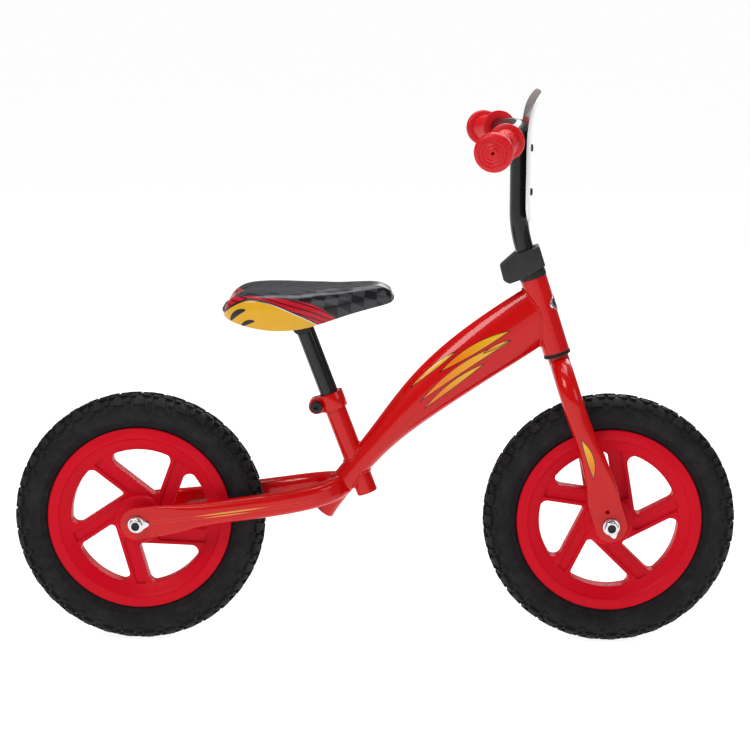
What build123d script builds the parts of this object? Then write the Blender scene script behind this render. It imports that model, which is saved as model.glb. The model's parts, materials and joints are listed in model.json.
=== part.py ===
from build123d import *
import os
from math import acos, cos, degrees, radians, sin, sqrt, tan

# Balance bike, millimetres. +X forward, +Y to the rider's left, +Z up.
# The origin is on the ground, in the symmetry plane, half-way between the axles.

# ---- driving dimensions -------------------------------------------------------------
WHEELBASE = 568.0
TYRE_OD = 305.0
TYRE_WIDTH = 50.0
HEAD_TILT = 17.8          # steering axis, degrees back from vertical
SEAT_TILT = 20.5          # seat tube, degrees back from vertical
TUBE_WALL = 1.5
RUN_GAP = 0.05            # radial gap of a running fit
FACE_GAP = 0.3            # gap between faces that move past each other

AXLE_Z = TYRE_OD / 2
FRONT_X = WHEELBASE / 2
REAR_X = -WHEELBASE / 2

# wheels
RIM_R = 111.5             # outer edge of the rim flange
BAND_R = 98.0             # inner edge of the flat flange band
WINDOW_R = 84.5
WELL_R = 104.0            # bottom of the tyre seat
RIM_HALF = 17.5
HUB_R = 29.0
BOSS_R = 15.5
HUB_HALF = 22.0
BOSS_HALF = 31.0
SPOKES = 5
SPOKE_W = 21.0
SPOKE_OFFSET = 22.0       # distance from the wheel centre to a spoke's centreline
SPOKE_HALF = 10.0
CHANNEL_DEPTH = 2.5
CHANNEL_W = 12.5
FRONT_SPOKE_ANGLE = 12.5
REAR_SPOKE_ANGLE = 126.5
TYRE_WALL = 4.5

# axles and what is on them
AXLE_R = 5.0
BUSH_R = 8.0
BUSH_FLANGE_R = 12.0
BUSH_FLANGE = 2.0
BUSH_LENGTH = 16.0
SPACER_R = 8.0
DROPOUT_IN = 41.5         # inner face of the fork ends and the stay ends
DROPOUT_T = 5.0
TAB_T = 1.5
NUT_FLANGE_R = 10.0
NUT_FLANGE = 2.0
NUT_FLATS = 15.0
NUT_HEIGHT = 10.0
AXLE_RECESS = 2.0         # the axle stops this far inside the nut's face

# head and fork, heights measured up the steering axis from the front axle
HEAD_R = 15.9
HEAD_BORE_R = 14.3
HEAD_LOW = 214.5
HEAD_HIGH = 308.0
STEERER_R = 12.7
STEERER_BORE_R = 11.1
STEERER_TOP = 341.0
BUSHING_SLEEVE = 15.0
LEG_Y = 42.0
CROWN_BEND = 40.0         # bend radius of a leg's centreline at the crown
CROWN_TOP = 196.0         # height at which the two legs' centrelines meet
RACE_T = 2.4

# stem clamp and its cover
CLAMP_LOW = 316.4
CLAMP_R = 16.2
CLAMP_BOLT_BACK = 24.0    # bolt axis behind the steering axis
CLAMP_EAR_R = 7.0
COVER_HALF = 18.5

# handlebar
STEM_R = 11.0
STEM_FOOT = 262.0         # bottom of the stem inside the steerer
STEM_X = 171.5
BAR_Z = 622.0
BAR_END = (134.5, 196.0, 610.0)
BAR_BEND = (170.0, 30.0)
GRIP_BORE_R = 11.0
GRIP_R = 14.3
GRIP_INNER_FLANGE_R = 21.0
GRIP_OUTER_FLANGE_R = 22.0
GRIP_LENGTH = 90.0

# number plate
PLATE_X = 184.8           # front face at the middle
PLATE_T = 2.3
PLATE_CURVE_R = 450.0
PLATE_LOW = 518.0
PLATE_HIGH = 667.0
PLATE_HALF = 75.0

# seat tube, post and clamp, heights measured up the seat tube from its lower end
SEAT_FOOT_X = -8.2
SEAT_FOOT_Z = 183.0
SEAT_TUBE_R = 12.7
SEAT_BORE_R = 11.1
SEAT_TUBE_LENGTH = 130.5
POST_R = 11.0
POST_FOOT = 66.0
COLLAR_HEIGHT = 20.0
COLLAR_R = 16.0
EAR_BACK = 19.5
EAR_R = 9.5
EAR_HALF = 10.5
TILT_PIVOT_UP = 222.0     # saddle tilt pivot
PIVOT_R = 4.0
CORE_R = 11.0
CORE_HALF = 14.0
JAW_T = 15.0
RAIL_R = 3.3
RAIL_Y = 22.0
RAIL_Z = 402.5

STEER = Plane(
    origin=(FRONT_X, 0, AXLE_Z),
    x_dir=(cos(radians(HEAD_TILT)), 0, sin(radians(HEAD_TILT))),
    z_dir=(-sin(radians(HEAD_TILT)), 0, cos(radians(HEAD_TILT))),
)
SEAT = Plane(
    origin=(SEAT_FOOT_X, 0, SEAT_FOOT_Z),
    x_dir=(cos(radians(SEAT_TILT)), 0, sin(radians(SEAT_TILT))),
    z_dir=(-sin(radians(SEAT_TILT)), 0, cos(radians(SEAT_TILT))),
)
REAR_AXLE = (REAR_X, 0, AXLE_Z)
FRONT_AXLE = (FRONT_X, 0, AXLE_Z)

parts = {}


# ---- small helpers --------------------------------------------------------------------
def rod(radius, low, high, x=0.0, y=0.0):
    """A cylinder along Z from low to high."""
    return Pos(x, y, (low + high) / 2) * Cylinder(radius, high - low)


def pipe(outer, inner, low, high):
    return rod(outer, low, high) - rod(inner, low - 1, high + 1)


def cross_rod(radius, low, high, x=0.0, z=0.0):
    """A cylinder along Y from low to high."""
    return Pos(x, (low + high) / 2, z) * Rot(90, 0, 0) * Cylinder(radius, high - low)


def block(x0, x1, y0, y1, z0, z1):
    centre = Pos((x0 + x1) / 2, (y0 + y1) / 2, (z0 + z1) / 2)
    return centre * Box(x1 - x0, y1 - y0, z1 - z0)


def both_sides(shape):
    return [shape, mirror(shape, Plane.XZ)]


def section(centre, heading, wide, deep, corner=None):
    """A closed section across a tube: deep in the plane of symmetry, wide across it."""
    across = Vector(0, 1, 0)
    ahead = Vector(*heading).normalized()
    across = (across - ahead * across.dot(ahead)).normalized()
    plane = Plane(origin=centre, x_dir=across, z_dir=ahead)
    if corner is None:
        return plane * Ellipse(wide / 2, deep / 2)
    return plane * RectangleRounded(wide, deep, corner)


def turned_nut(height, flange_r, flange, flats, bore_r):
    """A flanged hexagon nut standing on Z = 0."""
    hexagon = extrude(RegularPolygon(flats / 2, 6, major_radius=False), height)
    crown = Pos(0, 0, height / 2) * Cone(flats * 0.5 + height, flats * 0.5 - 0.4, height)
    hexagon = hexagon & crown
    return hexagon + rod(flange_r, 0, flange) - rod(bore_r, -1, height + 1)


def cap_bolt(shank_r, grip, head_r, head_height, socket_flats):
    """A socket-head bolt: the head sits on Z = 0 and the shank runs down to -grip."""
    head = rod(head_r, 0, head_height)
    head = chamfer(head.edges().group_by(Axis.Z)[-1], 0.6)
    socket = extrude(RegularPolygon(socket_flats / 2, 6, major_radius=False), head_height)
    return head - Pos(0, 0, head_height * 0.4) * socket + rod(shank_r, -grip, 0.2)


def add(name, shapes):
    """Store one node. A list stays a group of separate solids."""
    if isinstance(shapes, list):
        solids = [solid for shape in shapes for solid in shape.solids()]
        parts[name] = Compound(children=solids)
    else:
        parts[name] = shapes


# ---- wheels ---------------------------------------------------------------------------
def spoke_turn(index):
    """The turn that brings a spoke's rim end to its place, counted from the first one."""
    return Rot(0, 0, 360 / SPOKES * index - degrees(acos(SPOKE_OFFSET / WINDOW_R)))


def wheel_windows():
    """The rounded openings between the pinwheel spokes, seen from the right side."""
    reach = WINDOW_R + 30
    bar = Pos(SPOKE_OFFSET, reach / 2 - 20) * Rectangle(SPOKE_W, reach)
    field = Circle(WINDOW_R) - spoke_turn(0) * bar - spoke_turn(1) * bar
    window = min(field.faces(), key=lambda face: face.area)
    inner = [v for v in window.vertices() if Vector(*v).length < WINDOW_R - 3]
    window = window.fillet_2d(5, inner)
    outer = [v for v in window.vertices() if Vector(*v).length > WINDOW_R - 3]
    window = window.fillet_2d(9, outer)
    return [Rot(0, 0, 360 / SPOKES * index) * window for index in range(SPOKES)]


def rim():
    """One moulding: tyre seat, five hollow-sided spokes and the hub, axis along Z."""
    half = [
        (WINDOW_R - 0.5, 0),
        (WINDOW_R - 0.5, SPOKE_HALF),
        (WINDOW_R + 1, SPOKE_HALF + 1),
        (BAND_R - 2.5, RIM_HALF - 2.5),
        (BAND_R, RIM_HALF - 1.2),
        (BAND_R + 0.8, RIM_HALF),
        (RIM_R - 1, RIM_HALF),
        (RIM_R, RIM_HALF - 1),
        (RIM_R, RIM_HALF - 2.2),
        (WELL_R, RIM_HALF - 3.5),
        (WELL_R - 2.5, RIM_HALF - 8),
        (WELL_R - 2.5, 0),
    ]
    outline = half + [(r, -y) for r, y in reversed(half[1:-1])]
    ring = revolve(Plane.XZ * make_face(Polyline(*outline, close=True)), Axis.Z)
    web = extrude(Circle(WINDOW_R + 1), SPOKE_HALF, both=True)
    for window in wheel_windows():
        web -= extrude(window, SPOKE_HALF + 1, both=True)
    bar_reach = sqrt(WINDOW_R**2 - SPOKE_OFFSET**2)
    slot = Pos(SPOKE_OFFSET, bar_reach / 2 + 12) * Rot(0, 0, 90) * SlotOverall(bar_reach - 18, CHANNEL_W)
    for index in range(SPOKES):
        channel = extrude(spoke_turn(index) * slot, CHANNEL_DEPTH + 1)
        web -= Pos(0, 0, SPOKE_HALF - CHANNEL_DEPTH) * channel
        web -= Pos(0, 0, -SPOKE_HALF - 1) * channel
    hub = rod(HUB_R, -HUB_HALF, HUB_HALF)
    hub = fillet(hub.edges(), 3)
    boss = rod(BOSS_R, -BOSS_HALF, BOSS_HALF)
    boss = chamfer(boss.edges(), 1)
    body = ring + web + hub + boss
    body -= rod(AXLE_R + 1.5, -BOSS_HALF - 1, BOSS_HALF + 1)
    for side in (-1, 1):
        seat = sorted((side * (BOSS_HALF - BUSH_LENGTH), side * (BOSS_HALF + 1)))
        body -= rod(BUSH_R, seat[0], seat[1])
    return body


def tyre():
    """A hollow-core tyre on the rim's seat, axis along Z."""
    top = TYRE_OD / 2
    side = TYRE_WIDTH / 2
    bead = RIM_HALF - 3.7
    lines = []
    for turn in (1, -1):
        wall = [(RIM_R + 0.6, bead - 0.5), (RIM_R + 8, side - 4.5), (132, side), (top - 6.5, side - 2)]
        lines.append(Spline(*[(r, turn * y) for r, y in wall]))
        crown = [(top - 6.5, side - 2), (top - 1.2, side - 11), (top, 0)]
        ends = [(1, -turn * 0.5), (0, -turn)]
        lines.append(Spline(*[(r, turn * y) for r, y in crown], tangents=ends))
    foot = [(RIM_R + 0.6, bead - 0.5), (WELL_R + 0.5, bead - 0.3)]
    lines.append(Polyline(*foot, *[(r, -y) for r, y in reversed(foot)]))
    outline = Plane.XZ * make_face(lines)
    core = Plane.XZ * Pos(130, 0) * Ellipse((top - 113) / 2 - TYRE_WALL + 1, side - TYRE_WALL)
    return revolve(outline, Axis.Z) - revolve(core, Axis.Z)


def hub_bush():
    """A flanged nylon bush whose flange stands on the hub's end, axis along Z."""
    body = rod(BUSH_R, BOSS_HALF - BUSH_LENGTH, BOSS_HALF)
    body += rod(BUSH_FLANGE_R, BOSS_HALF, BOSS_HALF + BUSH_FLANGE)
    return body - rod(AXLE_R + RUN_GAP, 0, BOSS_HALF + BUSH_FLANGE + 1)


def lay(shape, place):
    """Turn a wheel part's axis from Z to Y, its front side to the right."""
    return Pos(*place) * Rot(90, 0, 0) * shape


def build_wheel(end, place, spoke_angle):
    turned = Rot(0, 0, spoke_angle)
    add(end + "_rim", lay(turned * rim(), place))
    add(end + "_tyre", lay(tyre(), place))
    bush = hub_bush()
    bushes = [lay(bush, place), lay(mirror(bush, Plane.XY), place)]
    add(end + "_hub_bushes", bushes)


def tab_washer():
    """A teardrop washer whose bent tab hooks into the dropout's small hole.

    It stands on Z = 0 with the drop towards -Y; the tab reaches down past Z = 0."""
    drop = make_hull((Circle(9.5) + Pos(0, -12.5) * Circle(2.6)).edges())
    plate = extrude(drop, TAB_T)
    return plate - rod(AXLE_R, -1, TAB_T + 1)


def build_axle(end, place, lean, drop_angle):
    """Axle, spacers, tab washers and nuts. Everything here stays with the frame or fork."""
    outer = DROPOUT_IN + DROPOUT_T
    nut_foot = outer + TAB_T
    tip = nut_foot + NUT_HEIGHT - AXLE_RECESS
    shaft = rod(AXLE_R, -tip, tip)
    shaft = chamfer(shaft.edges(), 0.8)
    add(end + "_axle", lay(shaft, place))
    bush_face = BOSS_HALF + BUSH_FLANGE + FACE_GAP
    spacer = pipe(SPACER_R, AXLE_R, bush_face, DROPOUT_IN)
    add(end + "_axle_spacers", [lay(spacer, place), lay(mirror(spacer, Plane.XY), place)])
    washer = Pos(0, 0, outer) * Rot(0, 0, drop_angle + lean) * tab_washer()
    add(end + "_tab_washers", [lay(washer, place), lay(mirror(washer, Plane.XY), place)])
    nut = Pos(0, 0, nut_foot) * turned_nut(NUT_HEIGHT, NUT_FLANGE_R, NUT_FLANGE, NUT_FLATS, AXLE_R)
    nut = Rot(0, 0, 11) * nut
    add(end + "_axle_nuts", [lay(nut, place), lay(mirror(nut, Plane.XY), place)])


# ---- frame ----------------------------------------------------------------------------
# Main tube stations from the lower end up: x, z, slope in degrees, depth, width.
MAIN_STATIONS = [
    (-61.5, 158.5, 53.0, 26.0, 28.0),
    (-36.0, 197.5, 52.0, 30.0, 32.0),
    (-15.7, 222.0, 50.5, 30.5, 34.0),
    (23.4, 266.0, 46.5, 39.5, 37.0),
    (64.2, 306.0, 42.0, 55.4, 38.0),
    (100.2, 336.0, 38.0, 64.3, 37.0),
    (147.9, 370.2, 35.0, 69.6, 34.0),
    (188.3, 397.4, 33.0, 69.5, 30.5),
    (203.4, 407.2, 33.0, 69.0, 29.5),
]


def main_loft(inset, low_cut):
    faces = []
    for index, (x, z, slope, deep, wide) in enumerate(MAIN_STATIONS):
        heading = (cos(radians(slope)), 0, sin(radians(slope)))
        move = low_cut if index == 0 else 0.0
        centre = (x + heading[0] * move, 0, z + heading[2] * move)
        faces.append(section(centre, heading, wide - 2 * inset, deep - 2 * inset))
    return loft(faces)


def seat_cylinder(radius, low=0.0, high=SEAT_TUBE_LENGTH):
    return SEAT.location * rod(radius, low, high)


def head_cylinder(radius, low=HEAD_LOW, high=HEAD_HIGH):
    return STEER.location * rod(radius, low, high)


def main_tube():
    """A tapered, curved tube with a closed lower end, pierced by the seat tube."""
    outer = main_loft(0.0, 0.0)
    outer = fillet(outer.faces().sort_by(Axis.Z)[0].edges(), 3)
    tube = outer - main_loft(TUBE_WALL, 3.0)
    tube -= head_cylinder(HEAD_R, HEAD_LOW - 5, HEAD_HIGH + 5)
    tube -= seat_cylinder(SEAT_TUBE_R, -5, SEAT_TUBE_LENGTH)
    return max(tube.solids(), key=lambda solid: solid.volume)


# Chain stay centreline: x, outward y, z, heading (x, outward y, z), height, thickness.
STAY_STATIONS = [
    (-262.0, -44.0, 155.8, (1, 0, 0.13), 37.5, 5.0),
    (-246.0, -44.0, 157.9, (1, 0.02, 0.13), 35.5, 8.0),
    (-222.0, -43.2, 161.6, (1, 0.03, 0.14), 32.0, 14.5),
    (-196.0, -42.8, 165.8, (1, 0, 0.15), 29.5, 18.0),
    (-142.0, -42.6, 173.4, (1, 0, 0.14), 28.5, 19.0),
    (-104.0, -41.6, 179.0, (1, 0.10, 0.16), 28.0, 19.0),
    (-80.0, -37.5, 183.2, (1, 0.28, 0.20), 28.0, 19.0),
    (-60.0, -29.0, 187.2, (1, 0.62, 0.24), 28.0, 19.0),
    (-44.0, -14.0, 191.2, (1, 1.45, 0.30), 28.0, 19.5),
    (-36.0, 2.0, 193.6, (1, 2.60, 0.40), 27.0, 19.5),
]


def stay_loft(first, inset):
    faces = []
    for x, y, z, heading, high, thick in STAY_STATIONS[first:]:
        corner = (min(thick, high) - 2 * inset) * 0.48
        faces.append(section((x, y, z), heading, thick - 2 * inset, high - 2 * inset, corner))
    return loft(faces)


def right_stay():
    """Oval tube, flattened at the axle, bent in and welded to the main tube's side."""
    inner_face = -DROPOUT_IN
    outer_face = -DROPOUT_IN - DROPOUT_T
    lug = Pos(REAR_X, 0) * Circle(19.2)
    lug += make_face(Polyline(
        (REAR_X, 19.2 + 0.2), (REAR_X + 24.0, 18.7 + 3.2), (REAR_X + 24.0, -18.7 + 3.2),
        (REAR_X, -19.2 + 0.2), close=True))
    tab = extrude(Plane.XZ * Pos(0, AXLE_Z) * lug, (outer_face - inner_face) / 2, both=True)
    tab = Pos(0, (inner_face + outer_face) / 2, 0) * tab
    body = stay_loft(0, 0.0) + tab
    body -= stay_loft(2, TUBE_WALL)
    body -= cross_rod(AXLE_R, outer_face - 5, inner_face + 5, REAR_X, AXLE_Z)
    body -= cross_rod(2.6, outer_face - 5, inner_face + 5, REAR_X + 12.5, AXLE_Z + 1.6)
    body -= main_loft(0.0, 0.0)
    body -= seat_cylinder(SEAT_TUBE_R, -5, SEAT_TUBE_LENGTH)
    body -= block(-200, 200, -1.0, 60, 0, 400)
    return max(body.solids(), key=lambda solid: solid.volume)


def seat_tube():
    tube = pipe(SEAT_TUBE_R, SEAT_BORE_R, 0, SEAT_TUBE_LENGTH)
    tube = chamfer(tube.edges().group_by(Axis.Z)[-1], 0.3)
    return tube - block(-20, 0, -1.2, 1.2, SEAT_TUBE_LENGTH - 24, SEAT_TUBE_LENGTH + 1)


def seat_collar():
    """A split collar with two ears at the back."""
    low = SEAT_TUBE_LENGTH - COLLAR_HEIGHT
    ring = rod(COLLAR_R, low, SEAT_TUBE_LENGTH)
    middle = low + COLLAR_HEIGHT / 2 + 1
    ears = cross_rod(EAR_R, -EAR_HALF, EAR_HALF, -EAR_BACK, middle)
    ears += block(-EAR_BACK, 0, -EAR_HALF, EAR_HALF, middle - EAR_R, SEAT_TUBE_LENGTH)
    body = ring + ears - rod(SEAT_TUBE_R, low - 1, SEAT_TUBE_LENGTH + 1)
    body -= block(-40, -5, -1.2, 1.2, low - 2, SEAT_TUBE_LENGTH + 2)
    return body - cross_rod(3.0, -20, 20, -EAR_BACK, middle)


def ear_bolt(shank_r, half, head_r, head_height, x, z):
    """A cross bolt with its socket head on the right and a nut on the left."""
    bolt = cap_bolt(shank_r, 2 * half + 7, head_r, head_height, shank_r * 1.8)
    bolt = Pos(x, -half, z) * Rot(90, 0, 0) * bolt
    nut = turned_nut(6, head_r * 0.9, 1.2, shank_r * 3.3, shank_r)
    nut = Pos(x, half, z) * Rot(-90, 0, 0) * nut
    return [bolt, nut]


def head_tube():
    tube = pipe(HEAD_R, HEAD_BORE_R, HEAD_LOW, HEAD_HIGH)
    return chamfer(tube.edges().group_by(Axis.Z)[-1], 0.4)


def headset_bush(face, direction):
    """A flanged bush pressed into the head tube; the steerer runs in it."""
    flange = 4.9 if direction < 0 else 8.0
    inner = face - direction * BUSHING_SLEEVE
    outer = face + direction * (flange - (RACE_T + FACE_GAP if direction < 0 else 0))
    body = rod(HEAD_BORE_R, min(face, inner), max(face, inner))
    cap = rod(HEAD_R + 0.5, min(face, outer), max(face, outer))
    body += fillet(cap.edges(), 0.8)
    return body - rod(STEERER_R + RUN_GAP, face - 40, face + 40)


def badge():
    """A small blank oval plate wrapped round the front of the head tube."""
    middle = 272.0
    shell = pipe(HEAD_R + 1.0, HEAD_R, middle - 14, middle + 14)
    oval = extrude(Plane.YZ * Pos(0, middle) * Ellipse(13.0, 9.5), 30)
    return shell & oval


# ---- fork -----------------------------------------------------------------------------
def leg_stations():
    """Right leg from the flattened end up: centre, heading, width, thickness."""
    straight = [
        ((0.6, -44.0, 27.0), (0.05, 0, 1), 38.0, 5.0),
        ((2.0, -44.0, 42.0), (0.06, 0, 1), 36.5, 8.0),
        ((3.2, -43.0, 66.0), (0.03, 0.02, 1), 32.5, 15.0),
        ((3.0, -42.3, 92.0), (-0.03, 0.01, 1), 28.0, 21.0),
        ((1.4, -LEG_Y, 120.0), (-0.05, 0, 1), 25.6, 25.0),
        ((0.2, -LEG_Y, 148.0), (-0.02, 0, 1), 25.4, 25.4),
    ]
    turns = []
    foot = CROWN_TOP - CROWN_BEND
    for angle in (18, 40, 62, 90):
        swing = radians(angle)
        y = -LEG_Y + CROWN_BEND * (1 - cos(swing))
        z = foot + CROWN_BEND * sin(swing)
        turns.append(((0.0, y, z), (0, sin(swing), cos(swing)), 25.4, 25.4))
    end = ((0.0, -LEG_Y + CROWN_BEND + 6, CROWN_TOP), (0, 1, 0), 25.4, 25.4)
    return straight + turns + [end]


def leg_section(centre, heading, wide, thick):
    ahead = Vector(*heading).normalized()
    fore = Vector(1, 0, 0)
    fore = (fore - ahead * fore.dot(ahead)).normalized()
    plane = Plane(origin=centre, x_dir=fore, z_dir=ahead)
    return plane * RectangleRounded(wide, thick, min(wide, thick) * 0.485)


def leg_loft(first, inset):
    faces = []
    for centre, heading, wide, thick in leg_stations()[first:]:
        faces.append(leg_section(centre, heading, wide - 2 * inset, thick - 2 * inset))
    return loft(faces)


def right_leg():
    """A round tube, flattened at the axle and bent in to meet its twin at the crown."""
    outer = -DROPOUT_IN - DROPOUT_T
    lug = Circle(19.2) + Pos(0.3, 14.0) * Rectangle(38.0, 28.0)
    tab = extrude(Plane.XZ * lug, DROPOUT_T / 2, both=True)
    tab = Pos(0, outer + DROPOUT_T / 2, 0) * tab
    body = leg_loft(0, 0.0) + tab - leg_loft(4, TUBE_WALL)
    body -= block(-60, 60, 0, 80, -40, 300)
    body -= cross_rod(AXLE_R, outer - 5, outer + 12, 0, 0)
    body -= cross_rod(2.6, outer - 5, outer + 12, 1.0, 18.0)
    raised = Plane.XZ * Pos(1.6, 34.0) * Rot(0, 0, 72) * SlotOverall(12, 3.6)
    body += Pos(0, outer + 0.2, 0) * extrude(raised, 1.2)
    return max(body.solids(), key=lambda solid: solid.volume)


def steerer():
    """The tube that turns in the head tube, slotted at the top for the clamp."""
    tube = pipe(STEERER_R, STEERER_BORE_R, CROWN_TOP, STEERER_TOP)
    tube -= block(-20, 0, -1.2, 1.2, CLAMP_LOW - 0.5, STEERER_TOP + 1)
    solid_leg = leg_loft(0, 0.0)
    tube = tube - solid_leg - mirror(solid_leg, Plane.XZ)
    return max(tube.solids(), key=lambda solid: solid.volume)


def crown_race():
    outer = HEAD_R + 0.6
    ring = rod(outer, HEAD_LOW - 4.9, HEAD_LOW - 4.9 + RACE_T)
    ring = fillet(ring.edges(), 0.6)
    return ring - rod(STEERER_R, 0, HEAD_LOW)


def clamp_ears(half, radius):
    """The rounded lug round the cross bolt, before its slot is cut."""
    middle = (CLAMP_LOW + STEERER_TOP) / 2
    lug = cross_rod(radius, -half, half, -CLAMP_BOLT_BACK, middle)
    return lug + block(-CLAMP_BOLT_BACK, 0, -half, half, middle - radius, middle + radius)


def stem_clamp():
    """A split steel collar that grips the slotted steerer and the stem inside it."""
    body = rod(CLAMP_R, CLAMP_LOW, STEERER_TOP)
    body += clamp_ears(8.0, CLAMP_EAR_R)
    body -= rod(STEERER_R, CLAMP_LOW - 1, STEERER_TOP + 1)
    body -= block(-60, -5, -1.2, 1.2, CLAMP_LOW - 1, STEERER_TOP + 1)
    middle = (CLAMP_LOW + STEERER_TOP) / 2
    return body - cross_rod(3.0, -20, 20, -CLAMP_BOLT_BACK, middle)


def cover_side():
    """Side view of the cover: upright at the front, drooping to a blunt tail."""
    outline = Polyline(
        (17.6, 319.6), (17.6, 343.2), (-12.0, 343.2), (-34.0, 333.4),
        (-35.0, 317.0), (-29.5, 311.6), (-13.0, 312.2), close=True)
    face = make_face(outline)
    tail = face.vertices().sort_by(Axis.X)[:3]
    return fillet(tail, 4.0)


def clamp_cover():
    """A plastic shroud over the clamp: a square front and a narrower drooping tail."""
    solid = extrude(Plane.XZ * cover_side(), COVER_HALF, both=True)
    plan = Pos(5, 0) * RectangleRounded(26, 2 * COVER_HALF, 5)
    plan += Pos(-14, 0) * RectangleRounded(44, 2 * COVER_HALF - 3, 9)
    solid = solid & extrude(plan, 400)
    middle = (CLAMP_LOW + STEERER_TOP) / 2
    room = CLAMP_EAR_R + 0.1
    cavity = rod(CLAMP_R + 0.1, 300, STEERER_TOP + 0.1)
    cavity += rod(STEM_R + 1.6, CLAMP_LOW, STEERER_TOP + 10)
    cavity += clamp_ears(8.1, room)
    cavity += block(-CLAMP_BOLT_BACK - room, 0, -8.1, 8.1, 300, middle)
    cavity += cross_rod(6.3, -15.5, 15.5, -CLAMP_BOLT_BACK, middle)
    cavity += rod(HEAD_R + 2.0, 300, CLAMP_LOW + 0.2)
    return max((solid - cavity).solids(), key=lambda piece: piece.volume)


# ---- handlebar ------------------------------------------------------------------------
def bar_path():
    far_x, far_y, far_z = BAR_END
    bend_x, bend_y = BAR_BEND
    points = [
        (far_x, -far_y, far_z),
        (bend_x, -bend_y, BAR_Z),
        (bend_x, bend_y, BAR_Z),
        (far_x, far_y, far_z),
    ]
    return FilletPolyline(*points, radius=90)


def bar_sweep(radius):
    path = bar_path()
    start = Plane(origin=path @ 0, z_dir=path % 0)
    return sweep(start * Circle(radius), path)


def stem_sweep(radius, foot=STEM_FOOT):
    """Up the steering axis, then bent forward to stand upright."""
    lean = radians(HEAD_TILT)
    low = (FRONT_X - foot * sin(lean), 0, AXLE_Z + foot * cos(lean))
    corner = (STEM_X, 0, AXLE_Z + (FRONT_X - STEM_X) / tan(lean))
    path = FilletPolyline(low, corner, (STEM_X, 0, BAR_Z), radius=150)
    start = Plane(origin=path @ 0, z_dir=path % 0)
    return sweep(start * Circle(radius), path)


def grip():
    """Ribbed sleeve from the inner flange at Z = 0 to the domed end at GRIP_LENGTH."""
    ribs = 11
    first = 8.0
    last = GRIP_LENGTH - 12.0
    pitch = (last - first) / ribs
    body = rod(GRIP_R, 0, GRIP_LENGTH - 2)
    flange = rod(GRIP_INNER_FLANGE_R, 0, 5)
    body += fillet(flange.edges(), 1.8)
    cap = rod(GRIP_OUTER_FLANGE_R, GRIP_LENGTH - 11, GRIP_LENGTH)
    cap = fillet(cap.edges().group_by(Axis.Z)[-1], 4)
    body += cap
    for index in range(ribs):
        middle = first + (index + 0.5) * pitch
        body += Pos(0, 0, middle) * Torus(GRIP_R - 0.2, 1.3)
    body -= rod(GRIP_BORE_R, -1, GRIP_LENGTH - 6)
    return body - rod(2.5, 0, GRIP_LENGTH + 1)


def grip_place():
    """Where the left grip's inner face sits on the bar, looking outwards."""
    far = Vector(*BAR_END)
    near = Vector(BAR_BEND[0], BAR_BEND[1], BAR_Z)
    out = (far - near).normalized()
    origin = far - out * (GRIP_LENGTH - 6.1)
    return Plane(origin=origin, x_dir=Vector(0, 0, 1).cross(out), z_dir=out)


def plate_section(z, front):
    """A thin curved strip across the plate at one height, convex forwards."""
    centre = front - PLATE_CURVE_R
    band = Circle(PLATE_CURVE_R) - Circle(PLATE_CURVE_R - PLATE_T)
    window = Pos(PLATE_CURVE_R, 0) * Rectangle(PLATE_CURVE_R, 2 * PLATE_HALF)
    return Pos(centre, 0, z) * (band & window)


def plate_solid():
    """A curved plate, upright below and leaning forward at the top."""
    heights = [
        (PLATE_LOW - 2, PLATE_X + 0.6),
        (570.0, PLATE_X - 0.4),
        (612.0, PLATE_X),
        (636.0, PLATE_X + 2.4),
        (655.0, PLATE_X + 7.6),
        (PLATE_HIGH + 2, PLATE_X + 15.0),
    ]
    strip = loft([plate_section(z, front) for z, front in heights])
    low = PLATE_LOW
    middle = (PLATE_LOW + PLATE_HIGH) / 2
    outline = Pos(0, middle) * RectangleRounded(2 * PLATE_HALF - 6, PLATE_HIGH - low, 26)
    return strip & (Pos(100, 0, 0) * extrude(Plane.YZ * outline, 150))


def plate_screw_heights():
    return (548.0, 600.0)


def plate_screw(z):
    """A dome-head screw through the plate into the stem's front wall."""
    face = PLATE_X + 0.2
    head = Pos(face, 0, z) * Rot(0, 90, 0) * rod(4.5, 0, 2.6)
    head = fillet(head.edges().sort_by(Axis.X)[-1], 1.6)
    shank = Pos(0, 0, z) * Rot(0, 90, 0) * rod(2.0, face - 14, face + 0.5)
    return head + shank


def build_handlebar():
    bar_solid = bar_sweep(STEM_R)
    bar = bar_solid - bar_sweep(STEM_R - TUBE_WALL)
    stem = stem_sweep(STEM_R) - stem_sweep(STEM_R - TUBE_WALL)
    stem = stem - bar_solid
    plate = plate_solid() - stem_sweep(STEM_R)
    screws = [plate_screw(z) for z in plate_screw_heights()]
    for screw in screws:
        plate -= screw
        stem -= screw
    add("stem_tube", max(stem.solids(), key=lambda solid: solid.volume))
    add("handlebar_tube", bar)
    left = grip_place().location * grip() - bar_solid
    add("left_grip", left)
    add("right_grip", mirror(left, Plane.XZ))
    add("number_plate", max(plate.solids(), key=lambda solid: solid.volume))
    add("plate_screws", screws)


# ---- saddle ---------------------------------------------------------------------------
# Saddle stations from the tail to the nose: x, width, underside height, top height.
SADDLE_STATIONS = [
    (-179.5, 54.0, 403.5, 413.5),
    (-174.0, 92.0, 401.0, 422.5),
    (-162.0, 122.0, 397.5, 430.5),
    (-142.0, 140.0, 394.0, 434.0),
    (-112.0, 144.0, 392.0, 434.5),
    (-80.0, 126.0, 395.0, 434.0),
    (-48.0, 94.0, 402.0, 434.0),
    (-18.0, 66.0, 409.0, 434.5),
    (6.0, 52.0, 414.5, 435.0),
    (18.0, 40.0, 418.0, 431.5),
    (24.0, 22.0, 420.5, 426.5),
]
VINYL = 1.8
PAN_T = 3.0
PAN_LINE = [(-190.0, 409.0), (-60.0, 411.0), (-20.0, 415.0), (40.0, 422.5)]


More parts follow.
